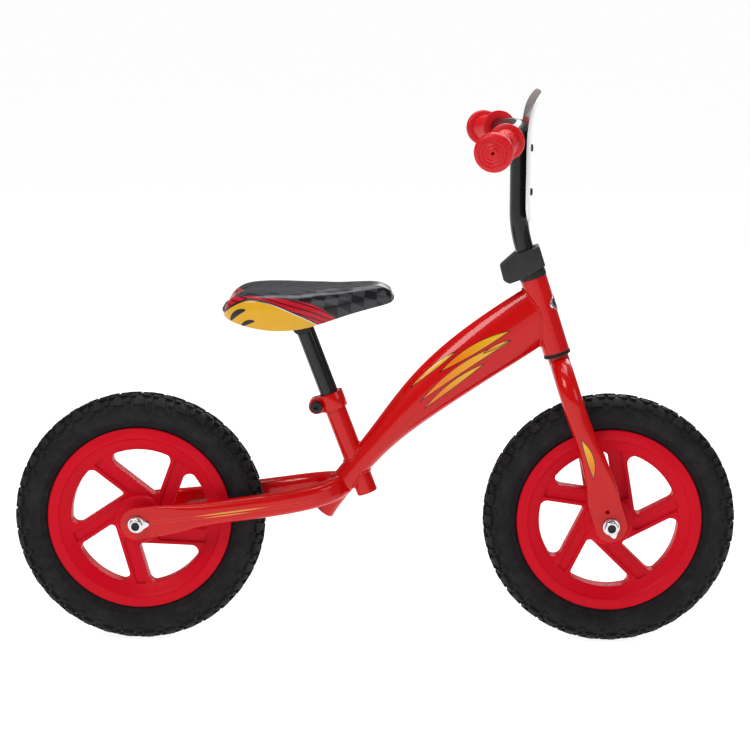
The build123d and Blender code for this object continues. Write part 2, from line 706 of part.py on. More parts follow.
def saddle_loft(inset, drop):
    faces = []
    for x, wide, low, high in SADDLE_STATIONS:
        tall = high - inset - (low - drop)
        across = wide - 2 * inset
        middle = (high - inset + low - drop) / 2
        corner = 0.42 * min(high - low, across, 30.0)
        plane = Plane(origin=(x, 0, middle), x_dir=(0, 1, 0), z_dir=(1, 0, 0))
        faces.append(plane * RectangleRounded(across, tall, min(corner, 0.45 * tall)))
    return loft(faces)


def pan_band(low, high):
    """The space between two heights that follow the pan's line."""
    under = [(x, z + low) for x, z in PAN_LINE]
    over = [(x, z + high) for x, z in reversed(PAN_LINE)]
    outline = make_face(Polyline(*under, *over, close=True))
    return extrude(Plane.XZ * outline, 100, both=True)


def rail_path():
    """One saddle rail: bent up at both ends to meet the pan."""
    points = [
        (-158.0, RAIL_Y + 8, 409.4),
        (-136.0, RAIL_Y + 2, RAIL_Z),
        (-118.0, RAIL_Y, RAIL_Z),
        (-52.0, RAIL_Y, RAIL_Z),
        (-16.0, RAIL_Y - 8, 415.2),
    ]
    return FilletPolyline(*points, radius=12)


def rail():
    path = rail_path()
    start = Plane(origin=path @ 0, z_dir=path % 0)
    return sweep(start * Circle(RAIL_R), path)


def pivot_point():
    lean = radians(SEAT_TILT)
    x = SEAT_FOOT_X - TILT_PIVOT_UP * sin(lean)
    z = SEAT_FOOT_Z + TILT_PIVOT_UP * cos(lean)
    return x, z


def rail_jaw():
    """Left jaw: a washer face round the pivot bolt with an ear that grips the rail."""
    x, z = pivot_point()
    low = CORE_HALF + FACE_GAP
    body = cross_rod(CORE_R, low, low + JAW_T, x, z)
    body += block(x - 14, x + 14, low, low + JAW_T, z, RAIL_Z + 4.6)
    body -= cross_rod(PIVOT_R + FACE_GAP, low - 1, low + JAW_T + 1, x, z)
    return body - rail()


def build_saddle():
    inner = saddle_loft(VINYL, 12.0)
    cover = saddle_loft(0.0, 0.0) - inner
    add("saddle_cover", max(cover.solids(), key=lambda solid: solid.volume))
    above = pan_band(PAN_T, 60)
    foam = inner & above
    add("saddle_foam", max(foam.solids(), key=lambda solid: solid.volume))
    pan = inner & pan_band(0, PAN_T)
    add("saddle_pan", max(pan.solids(), key=lambda solid: solid.volume))
    below = pan_band(-60, 0)
    add("saddle_rails", both_sides(rail() & below))
    add("saddle_rail_jaws", both_sides(rail_jaw()))


def build_post():
    x, z = pivot_point()
    core = cross_rod(CORE_R, -CORE_HALF, CORE_HALF, x, z)
    post = rod(POST_R, POST_FOOT, TILT_PIVOT_UP) - rod(POST_R - 1.6, POST_FOOT - 1, TILT_PIVOT_UP + 1)
    post = SEAT.location * post - core
    add("seat_post", max(post.solids(), key=lambda solid: solid.volume))
    core -= cross_rod(PIVOT_R, -CORE_HALF - 1, CORE_HALF + 1, x, z)
    add("saddle_clamp_core", core)
    half = CORE_HALF + 2 * FACE_GAP + JAW_T
    add("saddle_clamp_bolt", ear_bolt(PIVOT_R, half, 7.5, 5.0, x, z))


# ---- assembly -------------------------------------------------------------------------
def build_frame():
    add("main_tube", main_tube())
    add("head_tube", STEER.location * head_tube())
    add("seat_tube", SEAT.location * seat_tube())
    stay = right_stay()
    add("right_chain_stay", stay)
    add("left_chain_stay", mirror(stay, Plane.XZ))
    add("seat_clamp_collar", SEAT.location * seat_collar())
    middle = SEAT_TUBE_LENGTH - COLLAR_HEIGHT / 2 + 1
    bolt = ear_bolt(3.0, EAR_HALF, 7.2, 6.0, -EAR_BACK, middle)
    add("seat_clamp_bolt", [SEAT.location * piece for piece in bolt])
    add("upper_headset_bush", STEER.location * headset_bush(HEAD_HIGH, 1))
    add("lower_headset_bush", STEER.location * headset_bush(HEAD_LOW, -1))
    add("head_badge", STEER.location * badge())


def build_fork():
    add("steerer_tube", STEER.location * steerer())
    leg = right_leg()
    add("right_fork_leg", STEER.location * leg)
    add("left_fork_leg", STEER.location * mirror(leg, Plane.XZ))
    add("crown_race", STEER.location * crown_race())
    add("stem_clamp_collar", STEER.location * stem_clamp())
    middle = (CLAMP_LOW + STEERER_TOP) / 2
    bolt = ear_bolt(3.0, 8.0, 5.2, 5.0, -CLAMP_BOLT_BACK, middle)
    add("stem_clamp_bolt", [STEER.location * piece for piece in bolt])
    add("clamp_cover", STEER.location * clamp_cover())


build_frame()
build_fork()
build_axle("rear", REAR_AXLE, 0.0, 90.0)
build_axle("front", FRONT_AXLE, HEAD_TILT, 0.0)
build_wheel("front", FRONT_AXLE, FRONT_SPOKE_ANGLE)
build_wheel("rear", REAR_AXLE, REAR_SPOKE_ANGLE)
build_handlebar()
build_saddle()
build_post()

os.makedirs("parts", exist_ok=True)
for name, shape in parts.items():
    export_step(shape, "parts/" + name + ".step")
print(len(parts), "nodes written")
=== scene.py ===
"""Balance bike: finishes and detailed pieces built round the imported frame."""
import json
from math import acos, cos, pi, radians, sin, tau

import bmesh
import bpy
from mathutils import Matrix, Vector
from mathutils.bvhtree import BVHTree


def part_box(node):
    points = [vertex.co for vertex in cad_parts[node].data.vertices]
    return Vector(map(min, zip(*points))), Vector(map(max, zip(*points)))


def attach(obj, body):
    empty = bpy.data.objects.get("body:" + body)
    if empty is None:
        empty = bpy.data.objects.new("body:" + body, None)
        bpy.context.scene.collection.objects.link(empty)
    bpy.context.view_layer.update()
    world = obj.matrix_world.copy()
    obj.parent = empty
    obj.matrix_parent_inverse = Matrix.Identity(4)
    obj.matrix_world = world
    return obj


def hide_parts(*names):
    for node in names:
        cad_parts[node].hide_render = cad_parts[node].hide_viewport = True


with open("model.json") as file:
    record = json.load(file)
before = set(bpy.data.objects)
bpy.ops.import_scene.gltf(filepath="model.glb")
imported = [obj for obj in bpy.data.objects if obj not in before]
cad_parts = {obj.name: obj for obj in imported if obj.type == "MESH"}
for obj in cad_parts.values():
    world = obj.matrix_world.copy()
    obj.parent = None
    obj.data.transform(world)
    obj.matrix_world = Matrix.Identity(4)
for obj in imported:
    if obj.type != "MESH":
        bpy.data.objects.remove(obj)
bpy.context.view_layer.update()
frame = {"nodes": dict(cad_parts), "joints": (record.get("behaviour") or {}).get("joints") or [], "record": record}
MM = 0.001

NODES = frame["nodes"]
JOINTS = {joint["name"]: joint for joint in frame["joints"]}
MOUNTS = {mount["name"]: mount for mount in frame["record"]["mounts"]}


# ---- places, all read from the frame ------------------------------------------------------
def leaning_frame(origin, up):
    """A frame whose Z runs up a leaning tube, X points forward and Y to the rider's left."""
    z = Vector(up).normalized()
    y = Vector((0, 1, 0))
    x = y.cross(z)
    turn = Matrix((x, y, z)).transposed().to_4x4()
    return Matrix.Translation(origin) @ turn


FRONT_HUB = Vector(JOINTS["front_wheel_spin"]["pos_m"])
REAR_HUB = Vector(JOINTS["rear_wheel_spin"]["pos_m"])
STEER = leaning_frame(FRONT_HUB, JOINTS["steering"]["axis"])
SEAT = leaning_frame(MOUNTS["seat_post_clamp_zone"]["pos_m"], JOINTS["seat_height"]["axis"])
BAR_SPOT = Vector(MOUNTS["handlebar_clamp_zone"]["pos_m"])
BAR_OUT = Vector(MOUNTS["handlebar_clamp_zone"]["axis"])
TYRE_R = (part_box("front_tyre")[1].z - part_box("front_tyre")[0].z) / 2 / MM
MERGE = 0.01 * MM


# ---- shader maths -------------------------------------------------------------------------
class Level:
    """A number that changes over a surface; Python's operators add the Math nodes."""

    def __init__(self, finish, socket):
        self.finish = finish
        self.socket = socket

    def sum(self, operation, *others):
        inputs = {0: self}
        for index, other in enumerate(others):
            inputs[index + 1] = other
        return self.finish.add("ShaderNodeMath", {"operation": operation}, inputs)

    def __add__(self, other):
        return self.sum("ADD", other)

    __radd__ = __add__

    def __sub__(self, other):
        return self.sum("SUBTRACT", other)

    def __rsub__(self, other):
        return self.sum("MULTIPLY_ADD", -1.0, other)

    def __mul__(self, other):
        return self.sum("MULTIPLY", other)

    __rmul__ = __mul__

    def __truediv__(self, other):
        return self.sum("DIVIDE", other)

    def __abs__(self):
        return self.sum("ABSOLUTE")

    def least(self, other):
        return self.sum("MINIMUM", other)

    def most(self, other):
        return self.sum("MAXIMUM", other)

    def power(self, other):
        return self.sum("POWER", other)

    def wave(self):
        return self.sum("SINE")

    def above(self, edge, soft):
        """0 below the edge, 1 above it, with a soft step of the given width."""
        settings = {"interpolation_type": "SMOOTHSTEP"}
        inputs = {"Value": self, "From Min": edge - soft / 2, "From Max": edge + soft / 2}
        return self.finish.add("ShaderNodeMapRange", settings, inputs)

    def below(self, edge, soft):
        return 1 - self.above(edge, soft)


class Finish:
    """A procedural material around one Principled shader."""

    def __init__(self, name, colour, roughness, **sockets):
        self.material = bpy.data.materials.new(name)
        self.material.use_nodes = True
        self.tree = self.material.node_tree
        self.tree.nodes.clear()
        out = self.tree.nodes.new("ShaderNodeOutputMaterial")
        self.shader = self.tree.nodes.new("ShaderNodeBsdfPrincipled")
        self.tree.links.new(self.shader.outputs[0], out.inputs[0])
        self.put("Base Color", colour)
        self.put("Roughness", roughness)
        for key, value in sockets.items():
            self.put(key.replace("_", " "), value)
        self.place = self.add("ShaderNodeTexCoord", out="Object")

    def feed(self, socket, value):
        if isinstance(value, Level):
            self.tree.links.new(value.socket, socket)
        elif isinstance(value, (tuple, list)) and len(value) == 3 and socket.type == "RGBA":
            socket.default_value = (*value, 1.0)
        else:
            socket.default_value = value

    def put(self, name, value):
        self.feed(self.shader.inputs[name], value)

    def add(self, kind, settings=None, inputs=None, out=0):
        node = self.tree.nodes.new(kind)
        for key, value in (settings or {}).items():
            setattr(node, key, value)
        for key, value in (inputs or {}).items():
            self.feed(node.inputs[key], value)
        return Level(self, node.outputs[out])

    def axes(self):
        """Object X, Y and Z in millimetres."""
        split = self.add("ShaderNodeSeparateXYZ", inputs={0: self.place})
        node = split.socket.node
        return [Level(self, node.outputs[index]) * 1000.0 for index in range(3)]

    def noise(self, size, detail=2.0, rough=0.5, stretch=None):
        """Noise of the given grain size in millimetres, about 0 to 1."""
        where = self.place
        if stretch:
            where = self.add("ShaderNodeMapping", inputs={0: where, "Scale": stretch})
        inputs = {"Vector": where, "Scale": 1 / (size * MM), "Detail": detail, "Roughness": rough}
        return self.add("ShaderNodeTexNoise", inputs=inputs)

    def mix(self, share, first, second):
        inputs = {0: share, 6: first, 7: second}
        settings = {"data_type": "RGBA"}
        return self.add("ShaderNodeMix", settings, inputs, out=2)

    def curve_of(self, value, low, high, stops):
        """A number read off a smooth curve of (value, result) stops, low and high its ends."""
        share = (value - low) / (high - low)
        ramp = self.tree.nodes.new("ShaderNodeValToRGB")
        ramp.color_ramp.interpolation = "B_SPLINE"
        top = max(result for _, result in stops)
        elements = ramp.color_ramp.elements
        while len(elements) < len(stops):
            elements.new(0.5)
        for element, (at, result) in zip(elements, stops):
            element.position = (at - low) / (high - low)
            grey = result / top
            element.color = (grey, grey, grey, 1)
        self.feed(ramp.inputs[0], share)
        return Level(self, ramp.outputs[0]) * top

    def relief(self, height, depth):
        """Bump from a height of 0 to 1 that stands for the given depth in millimetres."""
        bump = self.add("ShaderNodeBump", inputs={"Height": height, "Distance": depth * MM})
        bump.socket.node.inputs["Strength"].default_value = 1.0
        self.put("Normal", bump)


# ---- finishes -----------------------------------------------------------------------------
ENAMEL_RED = (0.60, 0.0008, 0.0016)
PLASTIC_RED = (0.62, 0.0006, 0.012)
SIGNAL_YELLOW = (0.78, 0.44, 0.015)
ORANGE = (0.80, 0.20, 0.01)
INK = (0.012, 0.010, 0.014)


def enamel(name, colour):
    """Glossy sprayed paint: faint orange peel, soft clouding and a clear coat."""
    finish = Finish(name, colour, 0.32, Coat_Weight=0.5, Coat_Roughness=0.03,
                    Specular_IOR_Level=0.1)
    cloud = finish.noise(60, 3)
    tint = [channel * 0.86 for channel in colour]
    finish.put("Base Color", finish.mix(cloud, tuple(tint), colour))
    finish.put("Roughness", 0.26 + 0.12 * finish.noise(9, 3))
    finish.relief(finish.noise(2.6, 1.0), 0.012)
    return finish


def taper_streak(along, across, centre, half_length, half_width, curl):
    """1 inside a pointed streak that lies along one axis and curls a little."""
    run = (along - centre[0]) / half_length
    drift = across - centre[1] - curl * run * run
    return (1 - run * run) * half_width - abs(drift), run


def streaks(finish, base, along, across, shapes, line=0.9):
    """Plain pointed streaks, yellow to orange with a dark edge, laid over a base colour."""
    colour = base
    for centre, half_length, half_width, curl in shapes:
        margin, run = taper_streak(along, across, centre, half_length, half_width, curl)
        inside = margin.above(0.0, 0.35)
        edge = margin.above(-line, 0.35)
        warm = finish.mix((run * 0.9 + 0.45).most(0.0).least(1.0), ORANGE, SIGNAL_YELLOW)
        colour = finish.mix(edge, colour, INK)
        colour = finish.mix(inside, colour, warm)
    return colour


def turned(finish, centre, angle):
    """Two coordinates in millimetres along and across a line in the side view."""
    x, _, z = finish.axes()
    dx = x - centre[0]
    dz = z - centre[1]
    along = dx * cos(angle) + dz * sin(angle)
    across = dz * cos(angle) - dx * sin(angle)
    return along, across


# Streaks on the main tube: centre, half length, half width and curl along its slope.
TUBE_STREAKS = [
    ((20.0, 7.0), 46.0, 4.6, 0.0),
    ((-2.0, -4.5), 62.0, 4.2, 0.0),
    ((-24.0, -14.5), 42.0, 3.2, 0.0),
    ((-34.0, 15.5), 32.0, 2.4, 0.0),
    ((44.0, -3.0), 15.0, 1.6, 0.0),
]


def base_colour(finish):
    """What already feeds the finish's base colour."""
    return Level(finish, finish.shader.inputs["Base Color"].links[0].from_socket)


def main_tube_paint():
    """Red enamel with plain speed streaks on both flanks."""
    finish = enamel("main_tube_paint", ENAMEL_RED)
    base = base_colour(finish)
    along, across = turned(finish, (106.0, 345.0), radians(34))
    across = across + along * along * 0.0013
    finish.put("Base Color", streaks(finish, base, along, across, TUBE_STREAKS))
    return finish.material


def leg_paint():
    """Red enamel with one plain dash on the outer face of each leg."""
    finish = enamel("fork_leg_paint", ENAMEL_RED)
    base = base_colour(finish)
    up = STEER.col[2]
    centre = FRONT_HUB / MM + Vector((up.x, up.y, up.z)) * 88.0
    along, across = turned(finish, (centre.x, centre.z), acos(up.x))
    painted = streaks(finish, base, along, across, [((0.0, 0.0), 24.0, 4.0, 3.0)])
    _, y, _ = finish.axes()
    outside = abs(y).above(44.0, 1.0)
    finish.put("Base Color", finish.mix(outside, base, painted))
    return finish.material


def stay_paint():
    """Red enamel with two fine gold pinstripes along the outer face."""
    finish = enamel("chain_stay_paint", ENAMEL_RED)
    base = base_colour(finish)
    along, across = turned(finish, (-170.0, 169.5), radians(8))
    room = (1 - (along / 46.0).power(2.0)).most(0.0)
    line = (room * 0.9 - abs(across)).above(0.0, 0.4)
    lower_room = (1 - ((along + 6.0) / 30.0).power(2.0)).most(0.0)
    lower_line = (lower_room * 0.6 - abs(across + 3.2)).above(0.0, 0.4)
    _, y, _ = finish.axes()
    mask = line.most(lower_line) * abs(y).above(45.0, 1.0)
    finish.put("Base Color", finish.mix(mask, base, (0.70, 0.33, 0.05)))
    return finish.material


def gloss_black():
    """Black glossy powder coat with a fine grain."""
    finish = Finish("gloss_black_paint", (0.006, 0.006, 0.007), 0.22, Coat_Weight=0.5,
                    Coat_Roughness=0.06, Specular_IOR_Level=0.15)
    finish.put("Roughness", 0.20 + 0.14 * finish.noise(7, 4))
    finish.relief(finish.noise(1.1, 2.0), 0.012)
    return finish.material


def moulded_red():
    """Satin red nylon with a fine moulded grain and faint flow marks."""
    finish = Finish("moulded_red_nylon", PLASTIC_RED, 0.45, Specular_IOR_Level=0.12)
    cloud = finish.noise(45, 4)
    finish.put("Base Color", finish.mix(cloud, (0.56, 0.0006, 0.013), PLASTIC_RED))
    finish.put("Roughness", 0.36 + 0.16 * finish.noise(14, 4))
    finish.relief(finish.noise(0.7, 2.0), 0.02)
    return finish.material


def grip_rubber():
    """Soft red grip compound: glossy, slightly clear, with smudges."""
    colour = (0.60, 0.003, 0.008)
    finish = Finish("grip_compound", colour, 0.35, Subsurface_Weight=0.25,
                    Subsurface_Scale=0.004, Specular_IOR_Level=0.35)
    finish.put("Subsurface Radius", (1.0, 0.15, 0.1))
    finish.put("Roughness", 0.28 + 0.22 * finish.noise(6, 4))
    finish.relief(finish.noise(0.9, 2.0), 0.03)
    return finish.material


def tyre_rubber():
    """Matte black tyre rubber, paler where dust lies, with a moulded grain."""
    finish = Finish("tyre_rubber", (0.010, 0.0095, 0.011), 0.72, Specular_IOR_Level=0.22)
    dust = finish.noise(16, 5, 0.65).above(0.55, 0.3)
    finish.put("Base Color", finish.mix(dust * 0.5, (0.006, 0.0055, 0.0065), (0.022, 0.020, 0.022)))
    finish.put("Roughness", 0.58 + 0.22 * finish.noise(5, 4))
    finish.relief(finish.noise(0.9, 4.0, 0.7), 0.09)
    return finish.material


def dark_plastic(name, grey, roughness, grain):
    """Charcoal moulded plastic with a spark-eroded grain."""
    finish = Finish(name, (grey, grey * 0.96, grey), roughness, Specular_IOR_Level=0.3)
    finish.put("Roughness", roughness + 0.14 * finish.noise(4, 4))
    finish.relief(finish.noise(grain, 3.0, 0.6), 0.05)
    return finish.material


def plated(name, colour, roughness):
    """Bright zinc or chrome plate with fine turning marks and a little haze."""
    finish = Finish(name, colour, roughness, Metallic=1.0)
    haze = finish.noise(5, 4)
    finish.put("Roughness", roughness + 0.18 * haze)
    finish.relief(finish.noise(0.5, 2.0, 0.5, stretch=(1, 6, 1)), 0.01)
    return finish.material


def plate_sheet():
    """White gloss sheet with a soft yellowing; its back faces carry painted shade, darker lower down."""
    finish = Finish("number_plate_sheet", (0.80, 0.80, 0.80), 0.3, Coat_Weight=0.4,
                    Coat_Roughness=0.1)
    front = finish.mix(finish.noise(40, 3), (0.74, 0.735, 0.72), (0.83, 0.83, 0.83))
    facing = finish.add("ShaderNodeTexCoord", out="Normal")
    split = finish.add("ShaderNodeSeparateXYZ", inputs={0: facing})
    back = split.below(-0.3, 0.3)
    _, _, z = finish.axes()
    # painted shade on the back faces: near black low down, grey-brown higher up
    painted_back_shade = finish.mix(z.above(640.0, 70.0), (0.012, 0.011, 0.012), (0.36, 0.31, 0.30))
    finish.put("Base Color", finish.mix(back, front, painted_back_shade))
    finish.put("Roughness", 0.26 + 0.14 * finish.noise(12, 4))
    finish.relief(finish.noise(0.8, 2.0), 0.01)
    return finish.material


def badge_face():
    """A blank dark oval inside a bright rim."""
    finish = Finish("badge_face", INK, 0.25, Coat_Weight=0.6, Coat_Roughness=0.06)
    low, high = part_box("head_badge")
    centre = (low + high) / 2 / MM
    up = Vector(STEER.col[2][:3])
    x, y, z = finish.axes()
    rise = (x - centre.x) * up.x + (z - centre.z) * up.z
    across = y / 12.2
    tall = rise / 8.7
    ring = across * across + tall * tall
    rim = ring.above(0.80, 0.06)
    finish.put("Base Color", finish.mix(rim, INK, (0.75, 0.75, 0.77)))
    finish.put("Metallic", rim)
    finish.put("Roughness", 0.16 + 0.2 * finish.noise(3, 3))
    return finish.material


# Dark spots on the saddle's flank: centre in the side view, half lengths, slope in degrees.
SADDLE_SPOTS = [
    ((-160.0, 411.0), (12.0, 3.2), 38),
    ((-147.0, 401.0), (9.0, 2.6), 24),
]


def saddle_vinyl():
    """Printed glossy vinyl: chequered dark top, a red flash and yellow flanks, with a painted highlight along the
    top of the flanks towards the nose.
    """
    finish = Finish("saddle_vinyl", INK, 0.26, Coat_Weight=0.3, Coat_Roughness=0.12,
                    Specular_IOR_Level=0.2)
    x, y, z = finish.axes()
    sway = finish.noise(30, 2) * 1.6 - 0.8
    flank = finish.curve_of(x, -180.0, 30.0, [
        (-180, 404), (-168, 416), (-150, 427.5), (-128, 426), (-105, 417),
        (-82, 405), (-64, 396), (-58, 380), (30, 370)])
    flash = finish.curve_of(x, -180.0, 30.0, [
        (-180, 424), (-150, 432.5), (-118, 430), (-92, 427), (-70, 422),
        (-52, 410), (-38, 396), (-30, 380), (30, 370)])
    over_flank = z - flank
    over_flash = z - flash + sway
    rows = ((abs(y) - z * 0.9) * (pi / 11.0)).wave()
    columns = ((x + abs(y) * 0.35) * (pi / 13.0)).wave()
    check = (rows * columns).above(0.0, 0.06)
    top = finish.mix(check, (0.006, 0.006, 0.009), (0.036, 0.037, 0.044))
    streak = (((z - flash * 0.4 + x * 0.25) * (pi / 3.2)).wave()).above(0.72, 0.2)
    red = finish.mix(streak, (0.52, 0.006, 0.02), (0.05, 0.004, 0.008))
    yellow = finish.mix(finish.noise(25, 2), (0.66, 0.33, 0.010), (0.76, 0.42, 0.02))
    colour = finish.mix(over_flash.below(0.0, 0.5), top, red)
    rim_dark = over_flank.below(2.6, 0.4)
    # painted highlight: a pale line along the top of the yellow flanks, from x = -120 mm to the nose
    painted_edge_highlight = over_flank.below(1.1, 0.3) * x.above(-120.0, 30.0)
    inside = over_flank.below(0.0, 0.3)
    colour = finish.mix(rim_dark, colour, INK)
    colour = finish.mix(painted_edge_highlight, colour, (0.72, 0.70, 0.66))
    colour = finish.mix(inside, colour, yellow)
    for centre, half, angle in SADDLE_SPOTS:
        along, across = turned(finish, centre, radians(angle))
        a = along / half[0]
        b = (across + along * along * 0.02) / half[1]
        blot = (a * a + b * b).below(1.0, 0.15) * inside
        colour = finish.mix(blot, colour, INK)
    finish.put("Base Color", colour)
    finish.put("Roughness", 0.26 + 0.14 * finish.noise(8, 4))
    finish.relief(finish.noise(1.6, 3.0, 0.6), 0.05)
    return finish.material


FINISH = {
    "main": main_tube_paint(),
    "leg": leg_paint(),
    "stay": stay_paint(),
    "red": enamel("red_enamel", ENAMEL_RED).material,
    "black": gloss_black(),
    "nylon_red": moulded_red(),
    "grip": grip_rubber(),
    "tyre": tyre_rubber(),
    "cover": dark_plastic("clamp_cover_plastic", 0.022, 0.46, 0.8),
    "bush": dark_plastic("bush_plastic", 0.012, 0.38, 0.6),
    "plate": plate_sheet(),
    "badge": badge_face(),
    "zinc": plated("bright_zinc", (0.70, 0.70, 0.72), 0.16),
    "bolt": plated("black_oxide", (0.035, 0.035, 0.038), 0.34),
    "vinyl": saddle_vinyl(),
}


# ---- mesh helpers -------------------------------------------------------------------------
def smooth_with_edges(mesh, angle):
    """Shade smooth, but keep an edge sharp where its faces meet at more than the angle."""
    mesh.shade_smooth()
    mesh.set_sharp_from_angle(angle=radians(angle))


def make_piece(bm, name, body, finish, stands_for=(), smooth=38):
    """Turn a bmesh into a piece that rides on a body and takes one finish."""
    mesh = bpy.data.meshes.new(name)
    bm.to_mesh(mesh)
    bm.free()
    smooth_with_edges(mesh, smooth)
    piece = bpy.data.objects.new(name, mesh)
    bpy.context.scene.collection.objects.link(piece)
    mesh.materials.append(FINISH[finish])
    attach(piece, body)
    if stands_for:
        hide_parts(*stands_for)
    return piece


def turned_shape(target, profile, steps, matrix):
    """Spin a closed profile of (radius, height) in mm about local Z and place it."""
    bm = bmesh.new()
    verts = [bm.verts.new((r * MM, 0, z * MM)) for r, z in profile]
    for pair in zip(verts, verts[1:]):
        bm.edges.new(pair)
    bmesh.ops.spin(bm, geom=bm.verts[:] + bm.edges[:], axis=(0, 0, 1), cent=(0, 0, 0), angle=tau,
                   steps=steps, use_merge=True)
    bmesh.ops.remove_doubles(bm, verts=bm.verts, dist=MERGE)
    bmesh.ops.recalc_face_normals(bm, faces=bm.faces)
    bmesh.ops.transform(bm, matrix=matrix, verts=bm.verts)
    pour_into(target, bm)


def eased_copy(node, body, finish, ease, sharp=32, segments=2):
    """A copy of a CAD node with its hard edges eased by a small radius."""
    bm = bmesh.new()
    bm.from_mesh(NODES[node].data)
    bmesh.ops.remove_doubles(bm, verts=bm.verts, dist=MERGE)
    bmesh.ops.dissolve_limit(bm, angle_limit=radians(0.6), verts=bm.verts, edges=bm.edges)
    hard = [e for e in bm.edges if len(e.link_faces) == 2 and e.calc_face_angle(0) > radians(sharp)]
    bmesh.ops.bevel(bm, geom=hard, offset=ease * MM, offset_type="OFFSET", segments=segments,
                    profile=0.5, affect="EDGES", clamp_overlap=True, material=-1)
    return make_piece(bm, node + "_eased", body, finish, [node], smooth=30)


# ---- tyres --------------------------------------------------------------------------------
TREAD_COUNT = 35
TREAD_DEPTH = 3.7
TYRE_STEPS = 140
# Half of the carcass from the crown to the bead: radius short of the tyre's own, half width.
CARCASS = [
    (4.0, 0.0), (4.1, 4.0), (4.5, 8.5), (5.4, 13.0), (7.2, 17.0), (10.0, 20.4), (13.8, 22.8),
    (18.5, 24.2), (23.5, 24.4), (28.0, 23.0), (31.2, 21.2),
]
BEAD = [(38.8, 16.2), (40.2, 14.7), (41.6, 14.0), (48.0, 13.7)]


def carcass_profile():
    """Crown to bead with three fine ridges low on the sidewall."""
    half = [(TYRE_R - drop, y) for drop, y in CARCASS]
    start = half[-1]
    end = (TYRE_R - BEAD[0][0], BEAD[0][1])
    for index in range(9):
        share = (index + 1) / 10
        lift = 0.55 if index % 2 == 0 else 0.0
        r = start[0] + (end[0] - start[0]) * share
        y = start[1] + (end[1] - start[1]) * share + lift
        half.append((r, y))
    half += [(TYRE_R - drop, y) for drop, y in BEAD]
    return half


def along_carcass(distance):
    """The point and outward normal at a distance over the carcass from its crown."""
    points = [Vector((TYRE_R - drop, y)) for drop, y in CARCASS]
    for first, second in zip(points, points[1:]):
        step = (second - first).length
        if distance <= step or second is points[-1]:
            heading = (second - first).normalized()
            return first + heading * distance, Vector((-heading.y, heading.x)) * -1
        distance -= step


def pour_into(target, source):
    """Move everything from one bmesh to another."""
    mesh = bpy.data.meshes.new("pour")
    source.to_mesh(mesh)
    source.free()
    target.from_mesh(mesh)
    bpy.data.meshes.remove(mesh)


def tread_block(tread, around, length, near, far, side, height, waist, cuts):
    """One rubber block: around is its place along the tread, near and far its reach from
    the crown, waist narrows its inner end and cuts lets it follow the carcass."""
    bm = bmesh.new()
    bmesh.ops.create_cube(bm, size=1.0)
    across = [e for e in bm.edges if abs(e.verts[0].co.y - e.verts[1].co.y) > 0.5]
    bmesh.ops.subdivide_edges(bm, edges=across, cuts=cuts, use_grid_fill=True)
    for vert in bm.verts:
        share = vert.co.y + 0.5
        top = vert.co.z > 0
        shrink = 0.80 if top else 1.0
        width = length * (waist + (1 - waist) * share) * shrink
        inner = 0.8 if top else 0.0
        reach = near + inner + (far - near - 2 * inner) * share
        spot, normal = along_carcass(reach)
        spot = spot + normal * (height if top else -0.8)
        turn = (around + vert.co.x * width) / TYRE_R
        vert.co = Vector((spot.x * cos(turn), side * spot.y, spot.x * sin(turn))) * MM
    pour_into(tread, bm)


# Blocks of one side of one repeat: place in the repeat, length, near, far, height, waist, cuts.
TREAD_BLOCKS = [
    (0.0, 15.0, 1.4, 9.8, TREAD_DEPTH, 0.7, 1),
    (0.5, 10.5, 3.2, 10.4, TREAD_DEPTH - 0.3, 1.0, 1),
    (0.25, 16.5, 12.0, 24.0, TREAD_DEPTH - 0.1, 0.55, 3),
    (0.76, 7.5, 13.5, 21.5, TREAD_DEPTH - 0.8, 1.0, 2),
    (0.78, 8.0, 25.0, 30.0, 1.5, 1.0, 1),
]


def tread_pitch(bm):
    """Every block of one repeat of the pattern, the two sides half a repeat apart."""
    pitch = tau * TYRE_R / TREAD_COUNT
    for side, shift in ((1, 0.0), (-1, 0.5)):
        for place, length, near, far, height, waist, cuts in TREAD_BLOCKS:
            around = shift * pitch + pitch * place
            tread_block(bm, around, length, near, far, side, height, waist, cuts)


def build_tyre(end, hub, phase):
    """A carcass with its tread all round, turned on its wheel by a phase in radians."""
    bm = bmesh.new()
    tread_pitch(bm)
    bmesh.ops.spin(bm, geom=bm.verts[:] + bm.edges[:] + bm.faces[:], axis=(0, 1, 0), cent=(0, 0, 0),
                   angle=-tau * (TREAD_COUNT - 1) / TREAD_COUNT, steps=TREAD_COUNT - 1,
                   use_duplicate=True)
    bmesh.ops.recalc_face_normals(bm, faces=bm.faces)
    half = carcass_profile()
    ring = [(r, y) for r, y in [*reversed(half), *[(r, -y) for r, y in half[1:]]]]
    ring.append(ring[0])
    to_side = Matrix.Rotation(pi / 2, 4, "X")
    turned_shape(bm, ring, TYRE_STEPS, to_side)
    spin = Matrix.Translation(hub) @ Matrix.Rotation(phase, 4, "Y")
    bmesh.ops.transform(bm, matrix=spin, verts=bm.verts)
    make_piece(bm, end + "_knobbly_tyre", end + "_wheel", "tyre",
               [end + "_tyre"], smooth=32)


# ---- grips --------------------------------------------------------------------------------
GRIP_RIBS = 11
GRIP_STEPS = 72
GRIP_INNER = 83.9       # from the bar's end back to the grip's inner flange
BAR_END_Y = 196.0       # the bar's end, out from the middle
# Where one rib's outline passes, as shares of the rib and radii.
RIB = [(0.12, 14.2), (0.26, 15.1), (0.5, 15.45), (0.74, 15.1), (0.88, 14.2)]


